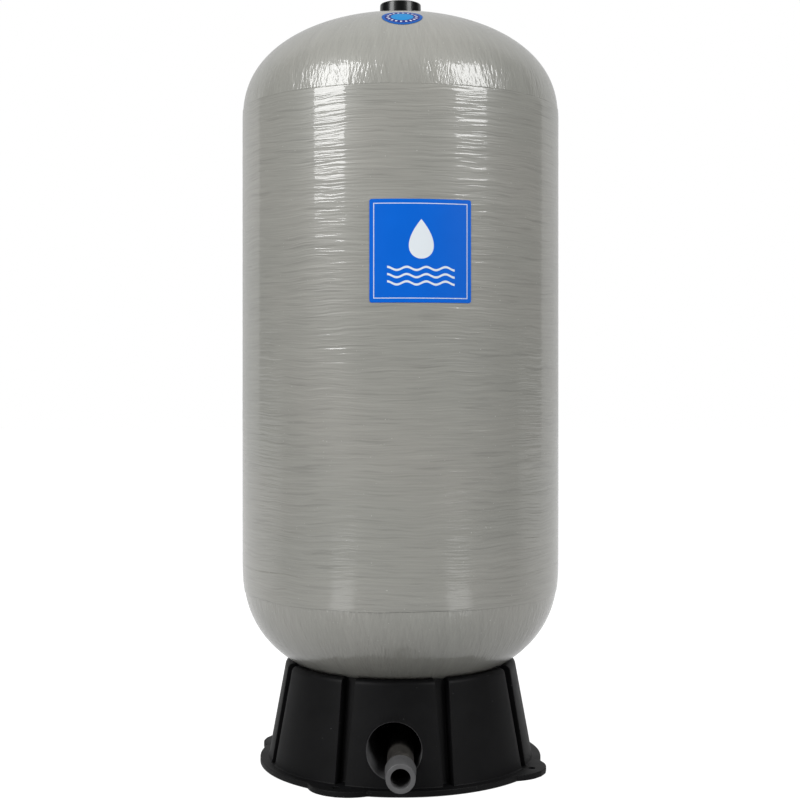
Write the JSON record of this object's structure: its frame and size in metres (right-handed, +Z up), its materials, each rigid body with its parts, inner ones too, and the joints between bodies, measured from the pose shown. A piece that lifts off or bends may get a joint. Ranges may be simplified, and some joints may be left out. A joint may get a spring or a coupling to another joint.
{
  "type": "pressure tank",
  "caption": "Free-standing composite water pressure tank on a moulded base, with an elbow outlet at the front and an air valve under a push-on cover.",
  "frame": {"origin": "middle of the whole object's footprint, on the floor; the tank's own axis is 20.25 mm behind it", "axes": "+Z up along the tank; the outlet faces -Y"},
  "size_m": [0.534, 0.5746, 1.279],
  "materials": {
    "wound_resin": "glossy resin over wound glass",
    "base_plastic": "satin, fine texture",
    "gloss_black": "glossy",
    "fitting_plastic": "satin",
    "dark_pipe_plastic": "satin",
    "grey_pipe_plastic": "satin",
    "liner_plastic": "satin",
    "black_rubber": "matte",
    "valve_brass": "machined",
    "valve_steel": "drawn",
    "blue_label": "printed film",
    "round_label_blue": "printed film"
  },
  "bodies": {
    "tank": {"composite_shell": "wound_resin", "upper_liner": "liner_plastic", "lower_liner": "liner_plastic", "diaphragm": "black_rubber", "clench_ring": "liner_plastic", "water_boss": "fitting_plastic", "water_boss_gasket": "black_rubber", "water_boss_nut": "fitting_plastic", "diffuser": "fitting_plastic", "union_o_ring": "black_rubber", "union_nut": "fitting_plastic", "outlet_elbow": "dark_pipe_plastic", "outlet_spigot": "grey_pipe_plastic", "base": "base_plastic", "valve_boss": "fitting_plastic", "valve_boss_gasket": "black_rubber", "valve_boss_nut": "fitting_plastic", "cover_o_ring": "black_rubber", "air_valve_body": "valve_brass", "valve_core": "valve_brass", "valve_spring": "valve_steel", "front_label": "blue_label", "top_label": "round_label_blue"},
    "cover": {"air_valve_cover": "gloss_black"},
    "cap_seal": {"dust_cap_seal": "black_rubber"},
    "dust_cap": {"valve_dust_cap": "fitting_plastic"},
    "pin": {"valve_pin": "valve_steel"}
  },
  "joints": [
    {"name": "cover_lift", "type": "slide", "parent": "tank", "child": "cover", "axis": [0, 0, 1], "range_m": [0, 0.04]},
    {"name": "dust_cap_rise", "type": "slide", "parent": "tank", "child": "cap_seal", "axis": [0, 0, 1], "range_m": [0, 0.00397]},
    {"name": "dust_cap_turn", "type": "hinge", "parent": "cap_seal", "child": "dust_cap", "pos_m": [0, 0.02025, 1.265], "axis": [0, 0, 1], "range_deg": [0, 1800]},
    {"name": "valve_pin_press", "type": "slide", "parent": "tank", "child": "pin", "axis": [0, 0, -1], "range_m": [0, 0.0012], "stiffness_N_per_m": 300, "deforming": ["valve_spring"]}
  ],
  "couplings": [
    {"joint": "dust_cap_turn", "follows": "dust_cap_rise", "rad_per_m": 7913.3}
  ]
}
